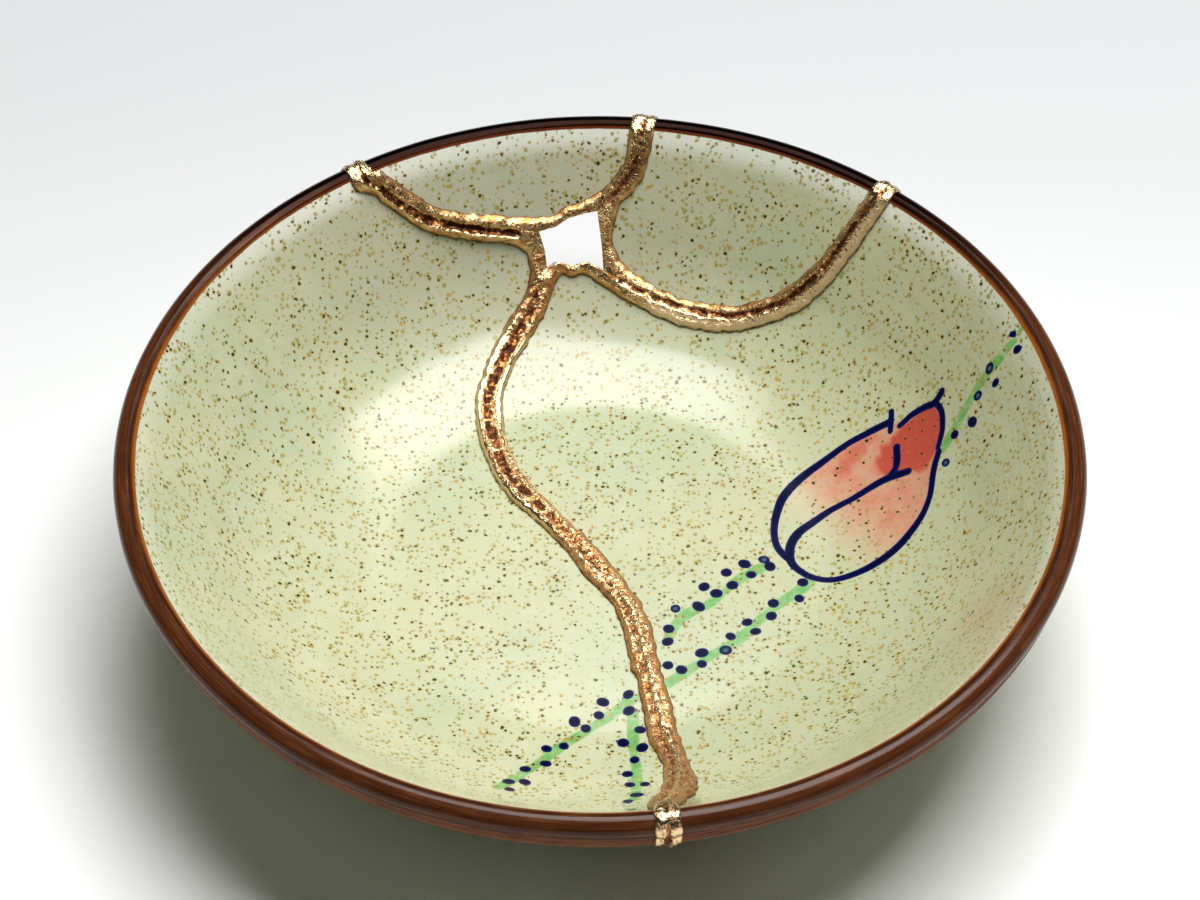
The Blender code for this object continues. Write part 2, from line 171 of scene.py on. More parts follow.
class Net:
    """A node tree that is being wired."""

    def __init__(self, tree):
        self.tree = tree

    def feed(self, node, inputs):
        sockets = [socket for socket in node.inputs if socket.enabled]
        if isinstance(inputs, list):
            pairs = zip(sockets, inputs)
        else:
            named = {socket.name: socket for socket in reversed(sockets)}
            pairs = [(named[name], value) for name, value in inputs.items()]
        for socket, value in pairs:
            if isinstance(value, Value):
                self.tree.links.new(value.socket, socket)
            else:
                socket.default_value = value

    def node(self, kind, settings=None, inputs=None, output=0):
        node = self.tree.nodes.new(kind)
        for name, value in (settings or {}).items():
            if name == "stops":
                ramp = node.color_ramp
                while len(ramp.elements) < len(value):
                    ramp.elements.new(1.0)
                for element, (position, colour) in zip(ramp.elements, value):
                    element.position, element.color = position, (*colour, 1.0)
            elif name == "tree":
                node.node_tree = value
            else:
                setattr(node, name, value)
        self.feed(node, inputs or {})
        if isinstance(output, str):
            return Value(self, node.outputs[output])
        return Value(self, [socket for socket in node.outputs if socket.enabled][output])

    def maths(self, operation, *numbers):
        return self.node("ShaderNodeMath", {"operation": operation}, list(numbers))

    def attribute(self, name):
        """A number that the mesh keeps at each of its points."""
        if self.tree.type == "GEOMETRY":
            return self.node("GeometryNodeInputNamedAttribute", {"data_type": "FLOAT"},
                             {"Name": name})
        return self.node("ShaderNodeAttribute", {"attribute_name": name}, output="Fac")

    def vector(self, *numbers):
        return self.node("ShaderNodeCombineXYZ", {}, list(numbers))

    def vector_maths(self, operation, *numbers):
        return self.node("ShaderNodeVectorMath", {"operation": operation}, list(numbers))

    def mix(self, share, low, high):
        """From the low colour to the high one, each a value or red, green and blue."""
        low, high = [(*end, 1.0) if isinstance(end, tuple) else end for end in (low, high)]
        return self.node("ShaderNodeMix", {"data_type": "RGBA"}, [share, low, high])

    def noise(self, at, scale, detail=2.0, roughness=0.5):
        return self.node("ShaderNodeTexNoise", {}, {
            "Vector": at, "Scale": scale, "Detail": detail, "Roughness": roughness})

    def bump(self, height, strength, depth):
        return self.node("ShaderNodeBump", {}, {
            "Strength": strength, "Distance": depth, "Height": height})


def surface(name):
    """A new material with its net, its shader and the place on the piece that it reads."""
    finish = bpy.data.materials.new(name)
    finish.use_nodes = True
    net = Net(finish.node_tree)
    return (finish, net, finish.node_tree.nodes["Principled BSDF"],
            net.node("ShaderNodeTexCoord", output="Object"))


def geometry_net(name, given, made, kind):
    """A geometry tree with one output, and with inputs that each have a kind or start at a number."""
    tree = bpy.data.node_groups.new(name, "GeometryNodeTree")
    for title, start in given.items():
        sort = {str: start, float: "Float", int: "Int"}[type(start)]
        socket = tree.interface.new_socket(title, in_out="INPUT", socket_type=f"NodeSocket{sort}")
        if sort != start:
            socket.default_value = start
    tree.interface.new_socket(made, in_out="OUTPUT", socket_type=f"NodeSocket{kind}")
    net = Net(tree)
    first = tree.nodes.new("NodeGroupInput")
    net.given = {title: Value(net, first.outputs[title]) for title in given}
    net.end = tree.nodes.new("NodeGroupOutput")
    return net


def scene_item(name, data):
    """A new object, linked into the scene."""
    item = bpy.data.objects.new(name, data)
    bpy.context.scene.collection.objects.link(item)
    return item


def stored_points(name, points, faces=(), values=None):
    """A mesh of points, with a named number or direction kept at each of them."""
    mesh = bpy.data.meshes.new(name)
    mesh.from_pydata(points.tolist(), [], list(faces))
    for title, row in (values or {}).items():
        row = np.asarray(row, dtype=np.float32)
        kind, field = ("FLOAT_VECTOR", "vector") if row.ndim == 2 else ("FLOAT", "value")
        kept = mesh.attributes.new(title, kind, "POINT")
        kept.data.foreach_set(field, row.ravel())
    return scene_item(name, mesh)


profile_points = np.concatenate([inside, outside], axis=1) * MM
profile_leans = np.concatenate([inside_normal, outside_normal], axis=1)
blank = np.zeros(profile_points.shape[1])
turning_template = stored_points(
    "turning_template", np.stack([profile_points[0], blank, profile_points[1]], axis=1),
    values={"lean": np.stack([profile_leans[0], blank, profile_leans[1]], axis=1)})

# The turned wall as a rule: a place on the sheet, a side and a lift give a point of the dish.
RIPPLE = 0.035            # depth of the throwing rings
RIPPLE_TURNS = 0.30       # throwing rings to a millimetre
RINGS_GROW = (18.0, 50.0)  # from the smooth floor to the full rings
SWAY_SCALE = 45.0         # waves of the wall's slow sway, to a metre
FOOT_FADE = 6.0           # from the foot out to the full sway of the underside

turned = geometry_net("turned_wall", {
    "Sheet Point": "Vector", "Outside": 0.0, "Lift": 0.0, "Template": "Object",
    "Station Step": STATION * MM, "Stations": float(len(stations)), "Ripple Depth": RIPPLE * MM,
    "Ripples per Millimetre": RIPPLE_TURNS}, "Point", "Vector")
given = turned.given
reach = turned.vector_maths("LENGTH", given["Sheet Point"])
outward = turned.vector_maths("NORMALIZE", given["Sheet Point"])
template = turned.node("GeometryNodeObjectInfo", {}, {"Object": given["Template"]}, "Geometry")
station = (reach / given["Station Step"]).least(given["Stations"] - 1.001)
whole = station.maths("FLOOR")
first = whole + given["Outside"] * given["Stations"]
place = turned.node("GeometryNodeInputPosition")
lean = turned.node("GeometryNodeInputNamedAttribute", {"data_type": "FLOAT_VECTOR"},
                   {"Name": "lean"})
ends = []
for kept in (place, lean):
    sampled = [turned.node("GeometryNodeSampleIndex", {"data_type": "FLOAT_VECTOR"},
                           {"Geometry": template, "Value": kept, "Index": index})
               for index in (first, first + 1.0)]
    ends.append(turned.node("ShaderNodeMix", {"data_type": "VECTOR"}, [station - whole, *sampled]))
way = outward.part(0)
way_across = outward.part(1)
ring_place = turned.vector(
    reach / MM * given["Ripples per Millimetre"], way * 0.7 + 3.0, way_across * 0.7)
ripple = turned.noise(ring_place, 1.0, 2.0) - 0.5
sway = turned.noise(turned.vector_maths("SCALE", given["Sheet Point"], SWAY_SCALE), 1.0, 1.0) - 0.5
ringed = (reach / MM).between(*RINGS_GROW) * (1 - (reach / MM).between(edge_at - 4, edge_at - 1))
on_foot = given["Outside"] * (1 - (reach / MM).between(foot_end, foot_end + FOOT_FADE))
raise_by = given["Lift"] + (ripple * ringed + sway * 2.0) * given["Ripple Depth"] * 2.0 * (1 - on_foot)
lifted = turned.vector_maths("MULTIPLY_ADD", ends[1], turned.vector(raise_by, raise_by, raise_by), ends[0])
radius = lifted.part(0)
height = lifted.part(2)
turned.feed(turned.end, {"Point": turned.vector(way * radius, way_across * radius, height)})

# The breaks
# The dish broke into four sherds round one lost chip. Each crack is filled with lacquer and
# gold, and each edge is drawn here on the sheet, as a share of the edge radius in plan.

CRACK = 1.2
BEAD_WIDTH = 4.9
HOLE_FILL = 0.9
SEAM_STEP = 5.0
FINE_STEP = 0.4           # between two corners of a drawn edge
WANDER = 0.3
WANDER_LENGTHS = (3.1, 5.3)
RAGGED = 0.075            # how far the gold's edge strays from its smooth course
SEAMS = {
    "right": (50.9, [(0.008, 0.793), (0.09, 0.75), (0.20, 0.704), (0.31, 0.676), (0.42, 0.678),
                     (0.51, 0.70), (0.58, 0.745)]),
    "middle": (84.4, [(-0.006, 0.882), (0.02, 0.897), (0.053, 0.921), (0.08, 0.95)]),
    "left": (122.5, [(-0.141, 0.846), (-0.24, 0.836), (-0.32, 0.829), (-0.39, 0.823),
                     (-0.45, 0.829), (-0.505, 0.842)]),
    "main": (277.6, [(-0.122, 0.79), (-0.163, 0.707), (-0.243, 0.547), (-0.25, 0.43),
                     (-0.207, 0.274), (-0.12, 0.157), (-0.024, 0.02), (0.062, -0.12),
                     (0.098, -0.27), (0.128, -0.44), (0.165, -0.60), (0.155, -0.71),
                     (0.134, -0.82)]),
}
# Each sherd lies between two seams, with its side of the hole and the gold's reach there.
SHERDS = {
    "right_rim_sherd": ("right", "middle", [(0.004, 0.832)], 0.27),
    "left_rim_sherd": ("middle", "left", [(-0.037, 0.878), (-0.073, 0.87), (-0.102, 0.856)], 0.22),
    "large_left_sherd": ("left", "main", [(-0.128, 0.82)], 0.43),
    "large_right_sherd": ("main", "right", [(-0.097, 0.803), (-0.066, 0.799), (-0.028, 0.806)],
                          0.25),
}
# Where the gold spreads over the glaze near the front rim: the sherd it runs onto and, in widths
# of the bead, its distance from the rim's edge, its reach, and its length inwards and outwards.
SPREADS = [("large_left_sherd", 4.9, 0.43, 1.8, 0.7), ("large_right_sherd", 6.9, 0.31, 1.4, 2.9)]


def unroll(plan):
    """From plan positions in millimetres to the sheet."""
    plan = np.asarray(plan, dtype=complex)
    return plan / np.abs(plan) * np.interp(np.abs(plan), inside[0], stations)


def from_shares(shares):
    return unroll([complex(*share) * EDGE_RADIUS for share in shares])


def smooth(points, step):
    """A curve through the points, with corners about a step apart."""
    points = np.asarray(points)
    ends = np.concatenate([[2 * points[0] - points[1]], points, [2 * points[-1] - points[-2]]])
    curve = [points[:1]]
    for a, b, c, d in zip(ends, ends[1:], ends[2:], ends[3:]):
        count = max(1, round(abs(c - b) / step))
        t = np.arange(1, count + 1) / count
        curve.append((2 * b + (c - a) * t + (2 * a - 5 * b + 4 * c - d) * t ** 2
                      + (3 * b - a - 3 * c + d) * t ** 3) / 2)
    return np.concatenate(curve)


def shifted(line, reach):
    """The line moved to its right."""
    step = np.diff(line) / np.abs(np.diff(line))
    before = np.concatenate([step[:1], step])
    after = np.concatenate([step, step[-1:]])
    run = (before + after) / np.abs(before + after)
    turn = np.maximum((run * before.conj()).real, 0.7)
    return line - 1j * run * reach / turn


def seam_line(name):
    """Middle of one seam, from the hole's corner to beyond the lip."""
    leaves_at, shares = SEAMS[name]
    out = np.exp(1j * math.radians(leaves_at))
    points = np.concatenate([from_shares(shares), [out * edge_at, out * (tip_at + SEAM_STEP / 2)]])
    line = smooth(points, SEAM_STEP)
    return line[np.abs(line - line[0]) > HOLE_FILL * 1.8]


def break_lines(name):
    """The sherd's edge and the gold's edge on it, both with the sherd on their right."""
    before, after, hole_side, hole_reach = SHERDS[name]
    inward = shifted(seam_line(before), -CRACK / 2)[::-1]
    outward = shifted(seam_line(after), CRACK / 2)
    corners = [SEAMS[before][1][0], *hole_side, SEAMS[after][1][0]]
    round_hole = shifted(from_shares(corners), HOLE_FILL)[1:-1]
    edge = np.concatenate([inward, round_hole, outward])
    way = np.concatenate([[0], np.cumsum(np.abs(np.diff(edge)))])
    short, long = WANDER_LENGTHS
    reach = np.full(len(edge), (BEAD_WIDTH - CRACK) / 2)
    reach[len(inward):len(inward) + len(round_hole)] = hole_reach * BEAD_WIDTH
    reach += WANDER * (0.6 * np.sin(way / short) + 0.4 * np.sin(way / long + 2.0))
    for sherd, spot, most, inwards, outwards in SPREADS:
        off = (edge_at - np.abs(edge)) / BEAD_WIDTH - spot
        fade = np.where(off > 0, off / inwards, -off / outwards)
        if sherd == name:
            reach += np.where(edge.imag < 0, most * BEAD_WIDTH * np.maximum(0, 1 - fade), 0)
    gold_edge = smooth(shifted(edge, reach), FINE_STEP)
    ragged = np.random.default_rng(len(name) + len(hole_side)).normal(size=len(gold_edge))
    ragged = np.convolve(ragged, np.hanning(7)[1:-1], mode="same")
    return smooth(edge, FINE_STEP), shifted(gold_edge, RAGGED * ragged)


def cut_at_tip(line):
    """The stretch of a line that lies within the lip's tip, with both its ends on the tip."""
    near = np.flatnonzero(np.abs(line) < tip_at - 0.02)
    first, last = near[0], near[-1]
    ends = []
    for within, beyond in ((line[first], line[first - 1]), (line[last], line[last + 1])):
        share = (tip_at - abs(within)) / (abs(beyond) - abs(within))
        end = within + (beyond - within) * share
        ends.append(end / abs(end) * tip_at)
    return np.concatenate([ends[:1], line[first:last + 1], ends[1:]])


lines = {name: break_lines(name) for name in SHERDS}
sherd_edges = {name: cut_at_tip(pair[0]) for name, pair in lines.items()}
gold_edges = {name: cut_at_tip(pair[1]) for name, pair in lines.items()}
hole = from_shares([share for before, _, side, _ in SHERDS.values()
                    for share in (SEAMS[before][1][0], *side)])
middles = {name: smooth(seam_line(name), FINE_STEP) for name in SEAMS}


def distances(points, line):
    """Distance from each point to a line, how far along it that is, and 1 or -1 for its side."""
    start, run = line[:-1], np.diff(line)
    size = np.abs(run)
    ways = np.concatenate([[0], np.cumsum(size)])[:-1]
    nearest = np.full(len(points), 1e9)
    along = np.zeros(len(points))
    side = np.ones(len(points))
    for a, step, length, way in zip(start, run / size, size, ways):
        local = (points - a) * step.conjugate()
        share = np.clip(local.real, 0.0, length)
        away = np.abs(local - share)
        closer = away < nearest
        nearest[closer] = away[closer]
        along[closer] = way + share[closer]
        side[closer] = np.where(local.imag[closer] < 0, -1, 1)
    return nearest, along, side


def contains(outline, points):
    """Which points lie inside a closed outline."""
    found = np.zeros(len(points), dtype=bool)
    for a, b in zip(outline, np.roll(outline, -1)):
        if a.imag != b.imag:
            crosses = (a.imag > points.imag) != (b.imag > points.imag)
            at = a.real + (points.imag - a.imag) * (b.real - a.real) / (b.imag - a.imag)
            found ^= crosses & (points.real < at)
    return found


def within_sherd(line, points):
    """Which points lie on a sherd, from its edge line closed round the outside of the sheet."""
    first, last = np.angle(line[0]), np.angle(line[-1])
    sweep = last - (last - first) % math.tau * np.linspace(0, 1, 60)
    return contains(np.concatenate([line, np.exp(1j * sweep) * tip_at * 1.05]), points)


# The painted flower
# A tulip with dotted stems, painted under the glaze: cobalt outlines and dots, green stems and
# a thin iron-red wash on the petals. The brush strokes are drawn in plan, in millimetres.

OUTLINE = 1.52            # width of the outline brush at full pressure
STEM = 2.1
DOT = 0.96                # radius of a dot
FAR = 9.0                 # stands for any distance too far from a mark to matter
PETAL_BLURS = (0.7, 0.9, 2.4)    # soft edge of the wash of the flower, its tip and its side petal
OUTLINES = [
    [(51.4, 29.7), (51.3, 28.2), (51.1, 26.2)],
    [(51.2, 28.0), (47.6, 27.5), (43.5, 26.3), (39.1, 23.6), (35.2, 20.5), (32.3, 16.7),
     (30.9, 12.3), (30.4, 8.3), (30.8, 5.0), (32.0, 2.7), (32.9, 1.7)],
    [(52.7, 26.5), (54.8, 27.4), (56.9, 27.5), (58.6, 27.2), (59.9, 28.2)],
    [(58.9, 27.0), (59.7, 25.2), (59.9, 23.2), (59.7, 21.2), (59.0, 19.0)],
    [(59.1, 18.1), (58.5, 16.4), (58.0, 14.2), (57.4, 10.5), (56.1, 7.3), (54.1, 4.5),
     (51.4, 1.7), (48.1, -0.5), (44.8, -2.0), (41.3, -3.0), (38.9, -3.0), (36.5, -2.2),
     (34.6, -0.8), (33.3, 1.0), (33.0, 3.2), (33.4, 5.7), (34.8, 8.2), (37.1, 10.3),
     (40.4, 12.9), (44.3, 14.8), (48.1, 16.6), (50.8, 17.3), (53.9, 17.2)],
    [(51.0, 17.9), (51.8, 18.8), (52.1, 20.5), (52.1, 22.8)],
]
STEMS = [
    [(36.4, -3.6), (29.3, -10.0), (24.0, -16.2), (19.0, -20.1), (11.3, -26.6)],
    [(29.1, 0.6), (24.2, -2.7), (19.2, -8.1), (14.2, -11.4), (11.4, -16.9)],
    [(5.9, -29.5), (-0.7, -35.6), (-6.0, -40.0), (-9.1, -43.5), (-13.4, -48.9), (-16.9, -53.8)],
    [(5.6, -32.7), (5.6, -40.0), (6.1, -46.8), (5.8, -55.1), (4.5, -57.9)],
    [(59.8, 18.2), (62.9, 21.7), (66.4, 25.1), (70.2, 27.0), (73.1, 28.7)],
]
DOTS = [
    (34.4, -7.2), (29.5, -11.2), (29.9, -8.3), (26.7, -14.7), (25.3, -12.6), (21.5, -18.9),
    (22.4, -15.8), (17.4, -22.0), (17.4, -19.5), (13.9, -23.3), (11.6, -22.3), (35.1, -3.5),
    (29.5, 0.2), (28.5, 1.8), (26.2, -1.7), (25.1, 0.8), (22.9, -4.1), (21.9, -1.2),
    (20.1, -6.0), (18.0, -4.5), (17.0, -9.0), (13.0, -9.5), (11.8, -14.1), (11.6, -17.0),
    (4.8, -28.8), (4.9, -32.4), (6.8, -36.6), (3.9, -39.6), (7.1, -40.8), (5.8, -43.9),
    (4.6, -47.8), (5.0, -51.1), (7.5, -51.1), (6.1, -54.8), (4.6, -57.4), (5.1, -62.8),
    (0.5, -30.5), (-0.2, -33.4), (-4.3, -34.8), (-2.4, -36.3), (-6.1, -40.4), (-9.0, -41.1),
    (-9.1, -45.0), (-12.5, -46.8), (-12.5, -50.9), (-15.2, -51.2), (-15.0, -54.1),
    (60.2, 15.3), (61.8, 19.4), (64.7, 19.3), (65.7, 23.1), (67.7, 26.2), (68.6, 23.0),
    (71.5, 29.2), (72.3, 26.0),
]
TIP_PETAL = [(52.7, 26.1), (50.2, 24.0), (48.8, 21.9), (48.8, 19.3), (50.5, 17.6), (54.0, 17.1),
             (56.7, 16.3), (58.6, 18.3), (59.6, 21.5), (59.4, 25.0), (58.5, 26.7), (56.6, 27.2)]
SIDE_PETAL = [(39.6, 20.7), (43.3, 19.4), (47.0, 23.7), (49.6, 26.6), (47.6, 27.3), (43.5, 26.1)]
FLOWER = [(51.0, 27.6), (43.5, 26.2), (39.1, 23.6), (35.2, 20.5), (32.3, 16.7), (31.0, 12.3),
          (30.6, 8.3), (31.1, 5.0), (33.2, 2.0), (34.6, -0.8), (38.0, -2.8), (44.8, -2.0),
          (51.4, 1.7), (56.1, 7.3), (57.8, 12.5), (59.0, 18.0), (59.8, 22.5), (58.6, 27.0),
          (54.8, 27.3)]
FLOWER_MIDDLE = complex(46.0, 13.0)
FLOWER_REACH = 26.0
WASH_FROM, WASH_TO = complex(35.5, 4.0), complex(56.0, 22.0)   # from bare glaze to full red


def on_sheet(points, step=0.6):
    """A curve on the sheet through places in plan."""
    return smooth(unroll([complex(*point) for point in points]), step)


strokes = [on_sheet(row) for row in OUTLINES]
stems = [on_sheet(row, 1.0) for row in STEMS]
dots = unroll([complex(*dot) for dot in DOTS])
dot_rng = np.random.default_rng(11)
dot_sizes = DOT * dot_rng.uniform(0.86, 1.12, len(dots))
dot_leans = dot_rng.uniform(0, math.pi, len(dots))
dot_stretch = dot_rng.uniform(1.0, 1.18, len(dots))
ring_dots = {5, 21, 13, 47, 50, 51}    # dots whose middle dried paler


def ink_distance(points):
    """Distance outside the edge of the cobalt brush marks, less than 0 within them."""
    found = np.full(len(points), FAR)
    for line in strokes:
        near = np.abs(points - line.mean()) < np.abs(line - line.mean()).max() + 3.0
        away, along, _ = distances(points[near], line)
        length = np.abs(np.diff(line)).sum()
        ends = np.minimum(along, length - along)
        press = 0.80 + 0.14 * np.clip(ends / 3.0, 0, 1) + 0.14 * np.sin(along / 4.1 + length)
        found[near] = np.minimum(found[near], away - OUTLINE / 2 * press)
    for place, size, lean, stretch in zip(dots, dot_sizes, dot_leans, dot_stretch):
        near = np.abs(points - place) < 4.0
        local = (points[near] - place) * np.exp(-1j * lean)
        away = np.abs(local.real / stretch + 1j * local.imag * stretch ** 0.5)
        found[near] = np.minimum(found[near], away - size)
    return found


def stem_distance(points):
    """Distance outside the edge of the green brush marks, less than 0 within them."""
    found = np.full(len(points), FAR)
    for line in stems:
        near = np.abs(points - line.mean()) < np.abs(line - line.mean()).max() + 4.0
        away, along, _ = distances(points[near], line)
        press = 1.0 + 0.12 * np.sin(along / 2.3) + 0.06 * np.sin(along / 0.9)
        found[near] = np.minimum(found[near], away - STEM / 2 * press)
    return found


def dot_middles(points):
    """1 in the pale middle of a dot that dried from its edge."""
    found = np.zeros(len(points))
    for index in ring_dots:
        away = np.abs(points - dots[index]) / dot_sizes[index]
        found = np.maximum(found, np.clip((0.55 - away) / 0.3, 0, 1))
    return found


def patch(points, outline, blur):
    """1 within an outline and 0 outside, softened over a width at its edge."""
    outline = unroll([complex(*corner) for corner in outline])
    closed = smooth(np.concatenate([outline, outline[:1]]), 1.0)
    away, _, _ = distances(points, closed)
    signed = np.where(contains(closed, points), away, -away)
    return np.clip(0.5 + signed / blur, 0, 1)


def petal_wash(points):
    """Strength of the red wash: pink across the flower, and full in the two upper petals."""
    found = np.zeros(len(points))
    near = np.abs(points - unroll([FLOWER_MIDDLE])[0]) < FLOWER_REACH
    spot = points[near]
    span = unroll([WASH_TO])[0] - unroll([WASH_FROM])[0]
    share = ((spot - unroll([WASH_FROM])[0]) * span.conjugate()).real / abs(span) ** 2
    pink = np.clip(share * 1.05 - 0.05, 0, 0.46)
    whole, tip, side = PETAL_BLURS
    full = np.maximum(patch(spot, TIP_PETAL, tip), 0.68 * patch(spot, SIDE_PETAL, side))
    found[near] = patch(spot, FLOWER, whole) * np.maximum(pink, full)
    return found


# The four sherds
# Speckled stoneware, glazed all over but for the foot: celadon over iron specks, with a band
# of brown iron glaze poured over the rim. The sherds meet only through the gold.

RING_STEP = 0.9
FINE_RING_STEP = 0.36     # over the lip, the rim band and the foot
SECTOR_STEP = 2.0
PAINT_STEP = 0.3          # between corners where the brush marks are
UNPAINTED = 3.0           # width without brush marks below the inside edge


def divide(lines, rings, loose):
    """Cut the sheet into triangles along lines and rings, with loose corners between them."""
    points, edges, count = [], [], 0
    for line, closed in lines + [(ring, True) for ring in rings]:
        index = count + np.arange(len(line))
        edges.append(np.stack([index, np.roll(index, -1)], axis=1)[:None if closed else -1])
        points.append(line)
        count += len(line)
    points = np.concatenate(points + [loose])
    found, _, faces, _, _, _ = delaunay_2d_cdt(
        [(point.real, point.imag) for point in points], np.concatenate(edges).tolist(), [],
        0, 1e-4, False)
    found = np.array([tuple(point) for point in found])
    return found[:, 0] + 1j * found[:, 1], np.array([face[:3] for face in faces])


def raised(name, points, faces, filled, values):
    """A closed mesh from sheet triangles, each filled in some of the three layers of the wall.

    Layer 0 is the bead on the outside, layer 1 the wall itself, layer 2 the bead on the inside.
    """
    kept = filled.any(axis=1)
    faces, filled = faces[kept], filled[kept]
    on_tip = np.abs(points) > tip_at - 0.004
    total = len(points)
    sides = np.concatenate([faces[:, [0, 1]], faces[:, [1, 2]], faces[:, [2, 0]]])
    owner = np.tile(np.arange(len(faces)), 3)
    key = sides[:, 0] * total + sides[:, 1]
    back = sides[:, 1] * total + sides[:, 0]
    order = np.argsort(key)
    spot = np.searchsorted(key[order], back).clip(0, len(key) - 1)
    other = np.where(key[order][spot] == back, owner[order][spot], -1)
    padded = np.pad(filled, ((0, 1), (1, 1)))

    def corner(index, level):
        level = np.where(on_tip[index], np.array([0, 1, 1, 0])[level], level)
        return level * total + index

    made = []
    for layer in range(3):
        below, has, above = padded[:-1, layer:layer + 3].T
        made.append(corner(faces[has & ~below][:, ::-1], layer))
        made.append(corner(faces[has & ~above], layer + 1))
        open_side = has[owner] & ~padded[other, layer + 1]
        a, b = sides[open_side].T
        wall = [corner(a, layer), corner(b, layer), corner(b, layer + 1), corner(a, layer + 1)]
        for ring in ((0, 1, 2), (0, 2, 3)):
            part = np.stack([wall[step] for step in ring], axis=1)
            made.append(part[(part != np.roll(part, 1, axis=1)).all(axis=1)])
    made = np.concatenate(made)
    used, fresh = np.unique(made, return_inverse=True)
    level, index = used // total, used % total
    flat = np.stack([points[index].real, points[index].imag, np.zeros(len(used))], axis=1) * MM
    return stored_points(name, flat, fresh.reshape(-1, 3).tolist(), values(points[index], level))


def over_rim(points, level):
    """Distance over the lip and down the outside, from where the inside wall meets the lip."""
    s = np.abs(points)
    return np.where(level >= 2, s - edge_at, 2 * tip_at - s - edge_at)


def finished(item, tree, material):
    """Turn a sheet mesh into its final mesh with a geometry tree, shaded smooth."""
    modifier = item.modifiers.new("shape", "NODES")
    modifier.node_group = tree
    inputs = {"Template": turning_template, "Material": material}
    for socket in tree.interface.items_tree:
        if socket.in_out == "INPUT" and socket.name in inputs:
            modifier[socket.identifier] = inputs[socket.name]
    item.update_tag()
    graph = bpy.context.evaluated_depsgraph_get()
    mesh = bpy.data.meshes.new_from_object(item.evaluated_get(graph), depsgraph=graph,
                                           preserve_all_data_layers=True)
    item.modifiers.clear()
    item.data = mesh
    mesh.shade_smooth()
    return item


# Rings of corners: close together where the profile bends sharply, and dense along each ring
# only where there is paint.
plain_rings = np.arange(RING_STEP * 2, edge_at - 9.0, RING_STEP)
near_foot = (plain_rings > foot_start - 1.0) & (plain_rings < foot_end + 4.0)
fine_rings = np.concatenate([np.arange(foot_start - 1.0, foot_end + 4.0, FINE_RING_STEP),
                             np.arange(edge_at - 8.6, tip_at - 0.2, FINE_RING_STEP)])
all_rings = np.sort(np.concatenate([plain_rings[~near_foot], fine_rings, [tip_at]]))


def paint_need(points):
    """Which corners the brush marks need."""
    return (ink_distance(points) < 0.5) | (np.abs(stem_distance(points)) < 0.25)


def ring_points(s, step):
    """Corners about a step apart, all round the sheet."""
    count = round(math.tau * s / step)
    return s * np.exp(1j * math.tau * np.arange(count) / count)


def in_turn(ring):
    """A ring's corners in order round the sheet."""
    return ring[np.argsort(np.angle(ring))]


def joined_at_tip(ring, ends, gap):
    """The lip's ring with the ends of the lines that meet it, clear of its other corners."""
    clear = [np.abs(ends - point).min() > gap for point in ring]
    return in_turn(np.concatenate([ring[clear], ends]))


rings, loose = [], [np.array([0j])]
for s, after in zip(all_rings, np.append(all_rings[1:], tip_at)):
    painted = s < edge_at - UNPAINTED
    fine = ring_points(s, PAINT_STEP)
    wanted = fine[paint_need(fine)] if painted else fine[:0]
    coarse = ring_points(s, SECTOR_STEP)
    if len(wanted):
        coarse = coarse[[np.abs(wanted - point).min() > PAINT_STEP * 0.8 for point in coarse]]
    rings.append(in_turn(np.concatenate([coarse, wanted])))
    count = round((after - s) / PAINT_STEP)
    for share in range(1, count if painted else 1):
        between = ring_points(s + share * (after - s) / count, PAINT_STEP)
        loose.append(between[paint_need(between)])

# The sherds' broken edges end on the lip's tip, so they join its ring.
tips = np.concatenate([line[[0, -1]] for line in sherd_edges.values()])
rings[-1] = joined_at_tip(rings[-1], tips, 0.3)
sheet_points, sheet_faces = divide([(line, False) for line in sherd_edges.values()], rings,
                                   np.concatenate(loose))
centres = sheet_points[sheet_faces].mean(axis=1)

def set_on_wall(net, geometry, lift):
    """Move the corners of a sheet onto the turned wall, lifted square to it."""
    wall_point = net.node("GeometryNodeGroup", {"tree": turned.tree}, {
        "Sheet Point": net.node("GeometryNodeInputPosition"), "Outside": net.attribute("outside"),
        "Lift": lift, "Template": net.given["Template"]})
    return net.node("GeometryNodeSetPosition", {}, {"Geometry": geometry, "Position": wall_point})


def end_with(net, geometry):
    """Give out one plain mesh of the given material."""
    plain = net.node("GeometryNodeRealizeInstances", {}, {"Geometry": geometry})
    net.feed(net.end, {"Geometry": net.node("GeometryNodeSetMaterial", {}, {
        "Geometry": plain, "Material": net.given["Material"]})})


thrown = geometry_net("thrown_sherd", {
    "Geometry": "Geometry", "Template": "Object", "Material": "Material"}, "Geometry", "Geometry")
end_with(thrown, set_on_wall(thrown, thrown.given["Geometry"], 0.0))


